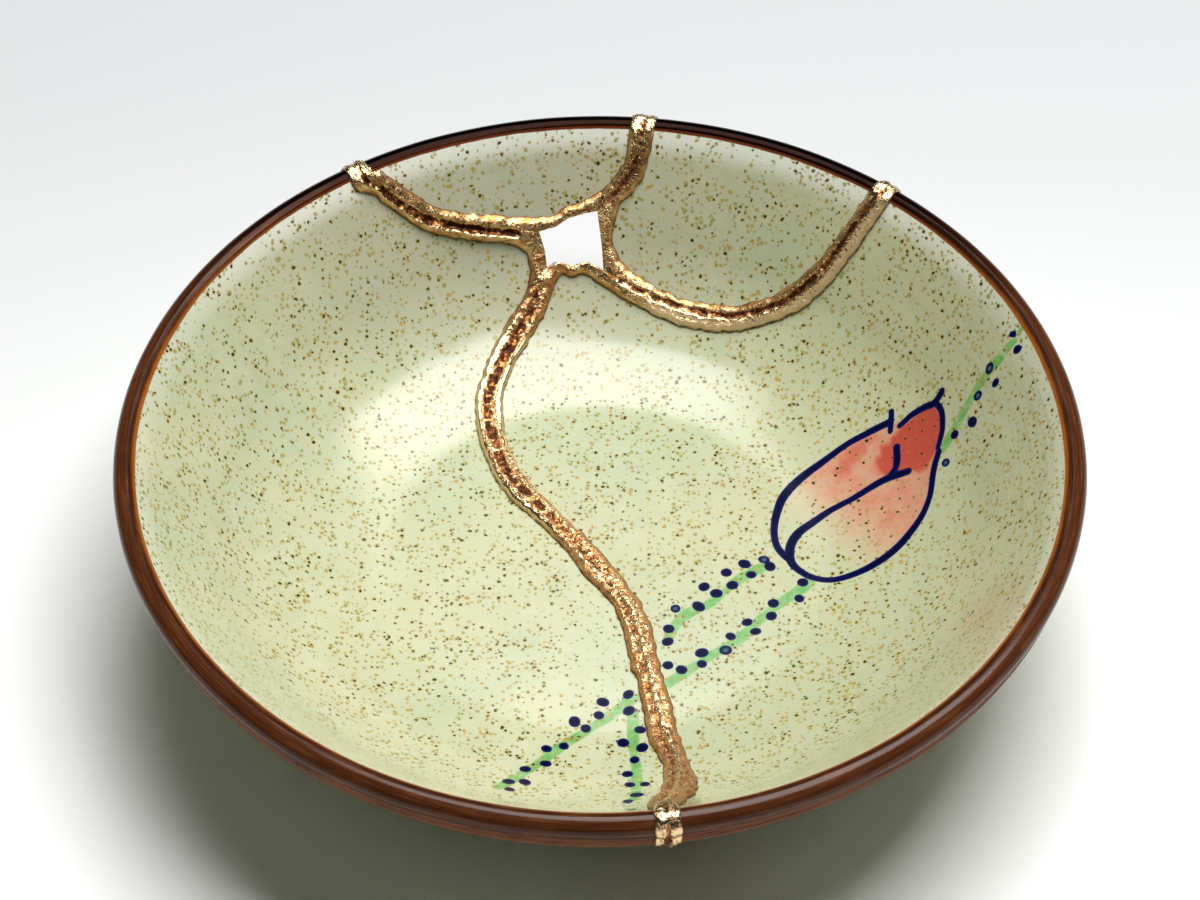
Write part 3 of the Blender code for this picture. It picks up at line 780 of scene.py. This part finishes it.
def glaze_material():
    """Celadon over iron specks, the brush marks under it, the brown rim and the bare foot."""
    glaze, net, shader, at = surface("speckled_celadon")
    rim, around, ink, wash = [net.attribute(name) for name in ("rim", "around", "ink", "wash")]
    height = at.part(2) / MM

    # The glaze itself, greener where it lies thicker, with painted shade towards the right and the back.
    pool = net.noise(at, 28.0, 3.0).between(0.35, 0.68)
    colour = net.mix(pool, (0.550, 0.560, 0.355), (0.480, 0.530, 0.350))
    milky = net.noise(at, 160.0, 3.0, 0.6).between(0.42, 0.75)
    colour = net.mix(milky * 0.45, colour, (0.60, 0.615, 0.455))
    to_right = at.part(0).between(-0.014, 0.044)
    away_from_front = at.part(1)
    to_back = away_from_front.between(0.02, 0.07)
    # Painted shade: darker towards the right, less so at the back.
    colour = net.mix(to_right * (1 - to_back * 0.6) * 0.5, colour, (0.430, 0.435, 0.255))
    # Painted shade: greyer and darker towards the back, away from the right.
    colour = net.mix(away_from_front.between(0.035, 0.065) * (1 - to_right) * 0.5, colour,
                     (0.435, 0.400, 0.320))
    # Paler below the lip all round, and much whiter at the back as a painted highlight.
    pale_lip_and_highlight = rim.between(-5.5, -0.6) * (0.30 + to_back * 0.70)
    colour = net.mix(pale_lip_and_highlight, colour, (0.82, 0.83, 0.73))

    # Wiping marks along the rim on the right, and a faint brown stain among them.
    wiping = net.vector(around * 0.055, rim * 1.25, 3.0)
    wiped = net.noise(wiping, 1.0, 3.0, 0.6).between(0.45, 0.66)
    marks = rim.between(-18.0, -10.0) * (1 - rim.between(-3.0, -1.0)) * to_right * (1 - to_back)
    colour = net.mix(marks * wiped * 0.42, colour, (0.36, 0.345, 0.25))
    from_stain = net.vector_maths("DISTANCE", at, (0.0665, -0.0270, 0.0310)) / MM
    stain = (1 - from_stain.between(3.0, 12.0)) * (0.35 + wiped * 0.65)
    colour = net.mix(stain * 0.45, colour, (0.46, 0.31, 0.20))

    # Iron specks: an ochre bleed, and a dark grain in some of them.
    jitter = net.node("ShaderNodeTexNoise", {}, {"Vector": at, "Scale": 1700.0, "Detail": 1.0},
                      "Color")
    shaken = net.vector_maths("MULTIPLY_ADD", jitter, (0.00055, 0.00055, 0.00055), at)
    crowd = 0.76 - to_right * 0.06 - net.noise(at, 230.0, 3.0, 0.6).between(0.38, 0.62) * 0.54
    specks = []
    for scale, reach, cored in ((1120.0, 0.55, 0.66), (760.0, 0.45, 0.44)):
        kind = {"feature": "F1", "distance": "EUCLIDEAN"}
        cell = {"Vector": shaken, "Scale": scale}
        away = net.node("ShaderNodeTexVoronoi", kind, cell, "Distance")
        pick = net.node("ShaderNodeTexVoronoi", kind, cell, "Color")
        chance = pick.part(0)
        size = pick.part(1)
        present = (chance - crowd).between(-0.02, 0.02)
        width = reach * (0.5 + 0.5 * size)
        specks.append((1 - (away / width).between(0.50, 1.10)) * present)
        has_grain = pick.part(2).between(cored - 0.02, cored + 0.02)
        specks.append((1 - (away / width).between(0.36, 0.66)) * present * has_grain)
    ochre = specks[0].most(specks[2])
    grain = specks[1].most(specks[3])

    # Brush marks, lightly broken up by the glaze that runs over them.
    fray = (net.noise(at, 2600.0, 2.0) - 0.5) * 0.12
    leaf = 1 - (net.attribute("leaf") + fray * 2).between(-0.35, 0.12)
    green = net.mix(net.noise(at, 420.0, 2.0).between(0.4, 0.7), (0.10, 0.37, 0.07),
                    (0.17, 0.44, 0.12))
    brushed = net.noise(at, 700.0, 3.0, 0.6).between(0.25, 0.65)
    colour = net.mix(leaf * (0.62 + brushed * 0.33), colour, green)
    blot = net.noise(at, 330.0, 3.0, 0.6).between(0.3, 0.75)
    red = net.mix(wash.between(0.35, 0.95), (0.60, 0.225, 0.150), (0.47, 0.075, 0.048))
    colour = net.mix((wash * (0.80 + blot * 0.40)).between(0.0, 0.62), colour, red)
    bleed = net.mix(net.noise(at, 330.0, 1.0).between(0.40, 0.60), (0.40, 0.270, 0.032),
                    (0.29, 0.270, 0.040))
    colour = net.mix(ochre * 0.86 * (1 - wash * 0.8), colour, bleed)
    colour = net.mix(grain * 0.98, colour, (0.022, 0.016, 0.010))
    cobalt = 1 - (ink + fray).between(-0.03, 0.12)
    blue = net.mix((ink * -1.0).between(0.1, 0.6), (0.004, 0.007, 0.085), (0.002, 0.003, 0.020))
    blue = net.mix(net.attribute("middle") * 0.6, blue, (0.12, 0.20, 0.30))
    colour = net.mix(cobalt, colour, blue)

    # The brown rim: orange where it thins over the inner edge, dark on the lip, streaky below.
    streak = net.noise(net.vector(around * 0.10, rim * 2.2, 0.0), 1.0, 4.0, 0.65)
    edge_sway = (net.noise(at, 90.0, 2.0) - 0.5) * 0.5 + (net.noise(at, 500.0, 1.0) - 0.5) * 0.2
    course = (rim + edge_sway) / 12.0
    # The ramp's very dark stop at 0.54 is painted shade in the groove under the rolled lip.
    brown = net.node("ShaderNodeValToRGB", {"stops": [
        (0.0, (0.36, 0.120, 0.020)), (0.045, (0.27, 0.075, 0.012)), (0.08, (0.055, 0.014, 0.005)),
        (0.12, (0.035, 0.010, 0.004)), (0.20, (0.074, 0.021, 0.007)), (0.46, (0.090, 0.026, 0.008)),
        (0.54, (0.012, 0.004, 0.002)), (0.61, (0.190, 0.050, 0.010)), (0.91, (0.21, 0.068, 0.015))]},
        [course])
    low = 0.35 + rim.between(3.5, 6.5) * 0.45
    brown = net.mix(streak.between(0.46, 0.72) * low, brown, (0.30, 0.105, 0.032))
    brown = net.mix((1 - streak.between(0.30, 0.48)) * low, brown, (0.022, 0.006, 0.003))
    # Painted shade: at the back the lip is made very dark and metallic, so that it shows almost no
    # reflection, and its inner edge a darker red.
    back_lip_painted_dark = (1 - rim.between(2.0, 5.0)) * rim.between(0.25, 0.7) * to_back
    brown = net.mix(back_lip_painted_dark * 0.97, brown, (0.004, 0.0016, 0.0012))
    brown = net.mix((1 - rim.between(0.5, 0.9)) * (1 - back_lip_painted_dark) * to_back * 0.8, brown,
                    (0.090, 0.012, 0.006))
    banded = (rim + edge_sway * 0.6).between(-0.12, 0.10) * (1 - (rim + edge_sway * 0.8).between(
        10.3, 10.55))
    colour = net.mix(banded, colour, brown)
    # A light celadon line under the brown band, painted lighter as a highlight where it catches the light.
    below = (rim - 10.5).between(0.0, 0.4) * (1 - (rim - 11.5).between(0.0, 0.9))
    colour = net.mix(below * 0.7, colour, (0.62, 0.66, 0.52))
    bare = 1 - (height + edge_sway * 0.6).between(0.35, 0.6)
    clay = net.mix(net.noise(at, 900.0, 3.0).between(0.35, 0.7), (0.36, 0.25, 0.16),
                   (0.46, 0.34, 0.23))
    colour = net.mix(bare, colour, clay)

    # Gloss: a hard clear surface, with a slight orange peel and small pinholes at the specks.
    peel = net.noise(at, 340.0, 2.0) * 0.35 + net.noise(at, 1500.0, 2.0) * 0.08
    normal = net.bump(peel - grain * 0.25 - cobalt * 0.05, 0.35, 0.06 * MM)
    rough = (0.13 + net.noise(at, 75.0, 3.0) * 0.10 + bare * 0.5
             + rim.between(5.0, 7.0) * banded * 0.45)
    net.feed(shader, {
        "Base Color": colour, "Roughness": rough, "Normal": normal,
        "Metallic": back_lip_painted_dark * banded * 0.85,
        "Coat Weight": (1 - bare) * (1 - banded * (0.70 + to_back * 0.30)) * (1 - cobalt) * 0.78})
    shader.inputs["Coat Roughness"].default_value = 0.19
    shader.inputs["IOR"].default_value = 1.16
    return glaze


def sherd_values(points, level):
    """The numbers that a sherd keeps at its corners, with the brush marks on its inside alone."""
    inner = level >= 2
    return {"outside": level < 2, "rim": over_rim(points, level), "around": np.angle(points) * EDGE_RADIUS,
            "ink": np.where(inner, ink_distance(points), FAR),
            "leaf": np.where(inner, stem_distance(points), FAR),
            "wash": np.where(inner, petal_wash(points), 0.0),
            "middle": np.where(inner, dot_middles(points), 0.0)}


glaze = glaze_material()
in_hole = contains(hole, centres)
for node, line in sherd_edges.items():
    within = within_sherd(line, centres) & ~in_hole & (np.abs(centres) < tip_at)
    filled = np.stack([np.zeros_like(within), within, np.zeros_like(within)], axis=1)
    sherd = raised(node.replace("sherd", "stoneware"), sheet_points, sheet_faces, filled, sherd_values)
    finished(sherd, thrown.tree, glaze)
    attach(sherd, "root")
    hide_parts(node)

# The gold seam
# Brown lacquer dusted with coarse gold, laid in the cracks and heaped over them on both sides
# of the wall. It runs over the lip at each break, and edges the hole of the lost chip.

GOLD_STEP = 0.36
CREST = 1.12              # height of the gold's crest over the glaze
SHOULDER = 1.15           # from the gold's edge to where it is as high as its crest
CROWN = 2.6               # from the inside edge to the middle of a wrap over the lip
# Down each seam, in millimetres: the way along it, and there how far across it the groove lies, its
# depth and half width, and how far across the bright ridge beside it lies.
GROOVES = {
    "right": [(0, 0.3, 0.45, 0.35, -0.5), (12, 0.6, 0.75, 0.45, -0.45), (45, 0.6, 0.7, 0.45, -0.45),
              (60, 0.5, 0.6, 0.35, -0.5), (66, 0.0, 0.5, 0.30, -0.5)],
    "middle": [(0, 0.0, 0.3, 0.40, 1.2), (6, 0.0, 0.6, 0.60, 1.3), (12, 0.0, 0.35, 0.35, 1.3),
               (16, 0.0, 0.5, 0.30, 1.2)],
    "left": [(0, 0.3, 0.8, 0.50, 1.3), (8, 0.45, 0.95, 0.60, 1.4), (25, 0.45, 0.95, 0.60, 1.4),
             (36, 0.2, 0.6, 0.40, 1.2), (43, 0.0, 0.5, 0.30, 1.0)],
    "main": [(0, 0.0, 0.4, 0.40, -1.8), (10, 0.0, 0.7, 0.75, -1.8), (38, 0.0, 0.65, 0.65, -1.8),
             (60, 0.1, 0.4, 0.45, -1.7), (80, -0.9, 0.30, 0.40, 0.2), (150, -0.6, 0.30, 0.35, 0.5),
             (164, 0.0, 0.3, 0.30, 0.9)],
}
MAIN = list(GROOVES).index("main")
BLOCK = 4.0               # side of the squares in which the corners are laid
GOLD_REACH = 4.6          # how far from a seam's middle its gold can reach


def near_seams(points):
    """How far across from the nearest seam's middle, how far along it, and which seam it is."""
    across, along, which = np.full(len(points), 1e9), np.zeros(len(points)), np.zeros(len(points))
    for number, line in enumerate(middles.values()):
        away, way, side = distances(points, line)
        closer = away < np.abs(across)
        across[closer], along[closer] = (away * side)[closer], way[closer]
        which[closer] = number
    return across, along, which.astype(int)


def grid(step):
    """Corners of an even triangle pattern near the gold."""
    spots = np.arange(-tip_at, tip_at + BLOCK, BLOCK)
    blocks = (spots[:, None] + 1j * spots[None, :]).ravel()
    away = np.minimum(np.abs(near_seams(blocks)[0]), np.abs(blocks - hole.mean()))
    rows = np.arange(0, BLOCK, step * 0.866)
    made = []
    for corner in blocks[away < BLOCK * 0.71 + GOLD_REACH]:
        for x in np.arange(0, BLOCK / step):
            made.append(corner + x * step + 1j * rows + step / 2 * (np.arange(len(rows)) % 2))
    return np.concatenate(made)


hole_round = np.append(hole, hole[0])
fills = {name: cut_at_tip(shifted(pair[0], -0.05)) for name, pair in lines.items()}
hole_fine = np.concatenate([a + (b - a) * np.linspace(0, 1, max(2, round(abs(b - a) / 0.4)) + 1)[:-1]
                            for a, b in zip(hole_round, hole_round[1:])])
gold_lines = list(gold_edges.values()) + list(fills.values())
spots = grid(GOLD_STEP)
clear = np.abs(spots) < tip_at - 0.2
for line in gold_lines + [np.append(hole_fine, hole_fine[0])]:
    clear &= distances(spots, line)[0] > 0.2
for line in gold_edges.values():
    clear &= ~within_sherd(line, spots)
clear &= ~contains(hole, spots)
tips = np.concatenate([line[[0, -1]] for line in gold_lines])
ring = joined_at_tip(ring_points(tip_at, GOLD_STEP), tips, 0.12)
gold_points, gold_faces = divide([(line, False) for line in gold_lines] + [(hole_fine, True)],
                                 [ring], spots[clear])
centres = gold_points[gold_faces].mean(axis=1)
covered = (np.abs(centres) < tip_at) & ~contains(hole, centres)
in_crack = covered.copy()
for name in SHERDS:
    covered &= ~within_sherd(gold_edges[name], centres)
    in_crack &= ~within_sherd(fills[name], centres)
off_foot = (np.abs(centres) < foot_start) | (np.abs(centres) > foot_end)
filled = np.stack([covered & off_foot, covered & in_crack, covered], axis=1)


def seam_values(points, level):
    """The numbers that the gold keeps at its corners. Its beads are the outermost levels."""
    across, along, which = near_seams(points)
    values = {"outside": level < 2, "bead": (level == 0) | (level == 3),
              "rise": np.min([distances(points, line)[0] for line in gold_edges.values()], axis=0),
              "across": across, "along": along, "seam": which, "rim": over_rim(points, level)}
    for column, title in enumerate(("groove_across", "groove", "groove_width", "ridge_across"), 1):
        values[title] = np.zeros(len(points))
        for number, rows in enumerate(GROOVES.values()):
            mine = which == number
            values[title][mine] = np.interp(along[mine], [row[0] for row in rows],
                                            [row[column] for row in rows])
    return values


gold = raised("gold_lacquer_seam", gold_points, gold_faces, filled, seam_values)

laid = geometry_net("laid_gold", {
    "Geometry": "Geometry", "Template": "Object", "Material": "Material",
    "Crest Height": CREST * MM, "Edge Height": 0.16 * MM, "Shoulder": SHOULDER,
    "Lump Height": 0.20 * MM, "Lump Size": 1.25, "Stroke Depth": 0.11 * MM,
    "Ridge Height": 0.30 * MM, "Fold Depth": 0.55 * MM, "Fold Size": 2.1,
    "Grain Radius": 0.15 * MM, "Grains per Square Millimetre": 0.55, "Seed": 7}, "Geometry", "Geometry")
given = laid.given
in_mm = laid.vector_maths("SCALE", laid.node("GeometryNodeInputPosition"), 1 / MM)
rise, across, along, rim, seam = [
    laid.attribute(name) for name in ("rise", "across", "along", "rim", "seam")]
on_main = seam.between(MAIN - 0.6, MAIN - 0.4)

# Where the gold changes on its way: thin over the lip, heaped at the front, and flat with
# smooth margins on the far half of the main seam.
body = rise.between(-0.15, 1.15)
lip = rim.between(-1.2, 0.6) * (1 - rim.between(8.0, 10.0))
thin = rim.between(-0.5, 1.5) * 0.5 + rim.between(5.5, 7.5) * 0.3 - rim.between(14.0, 24.0) * 0.8
heap = rim.between(-34.0, -22.0) * on_main * (1 - lip)
flat = on_main * along.between(6.0, 12.0) * (1 - along.between(52.0, 62.0))
margin = abs(across).between(1.10, 1.45) * flat
calm = 1 - margin * 0.8
shoulder = (rise / (given["Shoulder"] * (1 - flat * 0.55))).between(-0.35, 1.0)
crest = given["Edge Height"] + (given["Crest Height"] * (1 - thin)
                                - given["Edge Height"]) * shoulder

# Its surface: lumps, brush strokes, a groove, a bright ridge beside it, and folds on the lip.
lumps = laid.noise(in_mm, 1 / given["Lump Size"], 2.0) - 0.5
fine = laid.noise(in_mm, 2.0, 2.0) - 0.5
strokes_at = laid.vector(along * 0.55, across * 2.4, seam * 9.0)
brushed = laid.noise(strokes_at, 1.0, 2.0) - 0.5
sway = laid.noise(in_mm, 0.45, 2.0) - 0.5
off_groove = abs(across + sway - laid.attribute("groove_across"))
width = laid.attribute("groove_width")
broken = laid.noise(in_mm, 0.6, 2.0, 0.6).between(0.36, 0.56)
channel = laid.attribute("groove") * (1 - off_groove.between(width * 0.35, width * 1.7)) * (
    0.22 + broken * 0.78) * (1 - lip)
from_crown = abs(rim - CROWN)
pinch = (1 - (abs(across) - from_crown * 0.10).between(0.05, 0.42)) * (
    from_crown.between(0.3, 1.4) * lip)
channel = channel + pinch * 0.42
off_ridge = abs(across + sway - laid.attribute("ridge_across"))
ridge = (1 - off_ridge.between(0.05, 0.62)) * (1 - lip) * body
facets = laid.node("ShaderNodeTexVoronoi", {"feature": "F1"}, {
    "Vector": in_mm, "Scale": 1 / given["Fold Size"]}, "Distance") - 0.45
folds = facets * given["Fold Depth"] * (lip + heap * 1.5) * body
lift = (crest - channel * MM + (lumps * 1.6 + fine) * given["Lump Height"] * body * calm
        + brushed * given["Stroke Depth"] * 2.0 * body * calm
        + ridge * given["Ridge Height"] * (1 + lumps * 1.5) * calm + folds)
lift = lift.most(0.05 * MM)
bead = laid.attribute("bead")
kept = given["Geometry"]
for title, value in (("channel", channel), ("ridge", ridge), ("lip", lip), ("margin", margin)):
    kept = laid.node("GeometryNodeStoreNamedAttribute", {"data_type": "FLOAT", "domain": "POINT"}, {
        "Geometry": kept, "Name": title, "Value": value})
shaped = set_on_wall(laid, kept, lift * bead - (1 - bead) * (0.03 * MM))

# Coarse grains of gold lie scattered on the beads.
open_face = (rise.maths("GREATER_THAN", 0.7) * bead.maths("GREATER_THAN", 0.9)
             * (1 - margin).maths("GREATER_THAN", 0.5))
scattered = laid.node("GeometryNodeDistributePointsOnFaces", {"distribute_method": "RANDOM"}, {
    "Mesh": shaped, "Selection": open_face,
    "Density": given["Grains per Square Millimetre"] / MM / MM, "Seed": given["Seed"]})
grain = laid.node("GeometryNodeMeshIcoSphere", {}, {"Radius": 1.0, "Subdivisions": 1}, "Mesh")
size = laid.node("FunctionNodeRandomValue", {"data_type": "FLOAT"}, {
    "Min": 0.45, "Max": 1.25, "Seed": given["Seed"]})
side = size * given["Grain Radius"]
turn_about = laid.node("FunctionNodeRandomValue", {"data_type": "FLOAT_VECTOR"}, {
    "Min": (0.0, 0.0, 0.0), "Max": (6.28, 6.28, 6.28), "Seed": given["Seed"]})
grains = laid.node("GeometryNodeInstanceOnPoints", {}, {
    "Points": scattered, "Instance": grain, "Rotation": turn_about,
    "Scale": laid.vector(side, side * 0.8, side * 0.6)})
joined = laid.tree.nodes.new("GeometryNodeJoinGeometry")
for part in (grains, shaped):
    laid.tree.links.new(part.socket, joined.inputs[0])
end_with(laid, Value(laid, joined.outputs[0]))


def gold_material():
    """Gold that is worn through to brown lacquer in its grooves and pits."""
    metal, net, shader, at = surface("gold_over_lacquer")
    channel, ridge, lip, rise, margin, across, along, seam = [net.attribute(name) for name in (
        "channel", "ridge", "lip", "rise", "margin", "across", "along", "seam")]
    patchy = net.noise(at, 520.0, 4.0, 0.62)
    fine = net.noise(at, 2100.0, 3.0, 0.6)
    streaks = net.noise(net.vector(along * 0.8, across * 4.0, 0.0), 1.0, 3.0, 0.6)
    flake = net.node("ShaderNodeTexVoronoi", {}, {"Vector": at, "Scale": 1500.0}, "Color").part(0)

    # The gold itself, coppery down the main seam and brightest on its ridges and margins.
    tint = net.mix(patchy.between(0.35, 0.68), (0.50, 0.225, 0.070), (0.94, 0.61, 0.29))
    copper = net.mix(fine.between(0.35, 0.7), (0.46, 0.165, 0.050), (0.84, 0.44, 0.185))
    copper_side = seam.between(MAIN - 0.6, MAIN - 0.4) * (1 - lip) * 0.65
    tint = net.mix(copper_side, tint, copper)
    heap = net.attribute("rim").between(-30.0, -10.0) * copper_side * 1.5
    tint = net.mix(heap * (0.35 + streaks.between(0.35, 0.6) * 0.6), tint, (0.24, 0.082, 0.026))
    sparkle = (flake * 0.6 + fine * 0.7).between(0.62, 0.80) * rise.between(0.4, 1.0)
    shine = (ridge * (0.55 + patchy * 0.9)).between(0.25, 0.8).most(lip * 0.85).most(sparkle * 0.8)
    tint = net.mix(shine.most(margin * 0.9), tint, (0.96, 0.70, 0.39))

    # Satin on the lower side of the right seam, which is the first. Its paler cream tint is partly a
    # painted sheen.
    satin_and_sheen = ((across * -1.0).between(0.4, 1.0) * along.between(3.0, 8.0)
             * (1 - seam.between(0.4, 0.6)) * (1 - lip))
    tint = net.mix(satin_and_sheen * 0.75, tint, (1.0, 0.77, 0.47))

    # Rubbed through to the lacquer in the grooves, in pits and at the outer edges.
    rubbed = (channel / 0.45 * 1.25 + (patchy - 0.5) * 1.2 - 0.05).between(0.35, 0.80)
    tint = net.mix(rubbed * 0.9, tint, (0.42, 0.150, 0.042))
    pocks = net.noise(at, 640.0, 2.0, 0.6) + channel * 0.16
    worn = rubbed * pocks.between(0.53, 0.60)
    pitted = (1 - net.noise(at, 1250.0, 2.0, 0.6).between(0.36, 0.43)) * rise.between(0.5, 1.2)
    lacquer = (1 - rise.between(0.03, 0.30)) * streaks.between(0.32, 0.55) * 0.85
    furrow = (1 - streaks.between(0.30, 0.42)) * rise.between(0.3, 0.8) * (1 - lip)
    dark = worn.most(pitted * 0.75).most(lacquer).most(furrow * 0.7)
    colour = net.mix(dark, tint, (0.085, 0.024, 0.008))
    rugged = fine * 0.8 + patchy * 0.9 + flake * 0.35 + streaks * 0.8 - pitted * 0.9
    normal = net.bump(rugged * (1 - margin * 0.8), 0.95, 0.16 * MM)
    rough = 0.21 + patchy * 0.20 - shine.most(margin) * 0.16 + dark * 0.2 + satin_and_sheen * 0.14
    net.feed(shader, {"Base Color": colour, "Roughness": rough, "Normal": normal,
                      "Metallic": 0.93 + shine * 0.07 - dark * 0.25 - satin_and_sheen * 0.35})
    return metal


finished(gold, laid.tree, gold_material())
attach(gold, "root")
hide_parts("gold_seam")
bpy.data.objects.remove(turning_template)

# The table, lights and camera
# The dish stands on a plain white table, painted a cool grey away from the camera as the shade of the
# light's falloff. One wide soft light hangs above and behind it, and a weak one fills in from the front.

TABLE = 1.6               # half the side of the table, in metres
CAMERA_PLACE = (0.0, -0.6005, 0.6896)
CAMERA_LOOKS_DOWN = math.radians(47.206)
LENS = 156.6              # focal length over a sensor 36 mm wide

corners = np.array([(-1, -1, 0), (1, -1, 0), (1, 1, 0), (-1, 1, 0)])
table = stored_points("table", TABLE * corners, [(0, 1, 2, 3)])
paper, net, shader, at = surface("white_paper")
# Painted shade: the table darkens and cools away from the camera.
shade = net.mix(at.part(1).between(-0.08, 0.17), (0.93, 0.935, 0.925), (0.57, 0.585, 0.60))
net.feed(shader, {"Base Color": shade, "Roughness": 0.75})
table.data.materials.append(paper)


def soft_light(name, place, target, size, power, colour):
    """A wide rectangular light that faces its target."""
    lamp = bpy.data.lights.new(name, "AREA")
    lamp.shape = "RECTANGLE"
    lamp.size, lamp.size_y = size
    lamp.energy = power
    lamp.color = colour
    item = scene_item(name, lamp)
    item.location = place
    from_to = np.array(target) - np.array(place)
    item.rotation_euler = (math.acos(-from_to[2] / np.linalg.norm(from_to)), 0.0,
                           math.atan2(from_to[1], from_to[0]) - math.pi / 2)


soft_light("softbox", (0.17, 0.27, 1.10), (0.0, 0.0, 0.02), (0.88, 0.76), 20.5, (1.0, 1.0, 0.985))
soft_light("fill", (-0.1, -0.75, 1.0), (0.0, 0.0, 0.02), (1.4, 1.4), 0.15, (0.9, 1.0, 1.0))
world = bpy.data.worlds.new("studio")
world.use_nodes = True
world.node_tree.nodes["Background"].inputs["Color"].default_value = (0.70, 1.0, 0.95, 1.0)
world.node_tree.nodes["Background"].inputs["Strength"].default_value = 0.008
bpy.context.scene.world = world
bpy.context.scene.view_settings.view_transform = "Standard"

camera = bpy.data.cameras.new("camera")
camera.lens = LENS
camera.sensor_width = 36.0
camera_item = scene_item("camera", camera)
camera_item.location = CAMERA_PLACE
camera_item.rotation_euler = (math.pi / 2 - CAMERA_LOOKS_DOWN, 0.0, 0.0)
bpy.context.scene.camera = camera_item
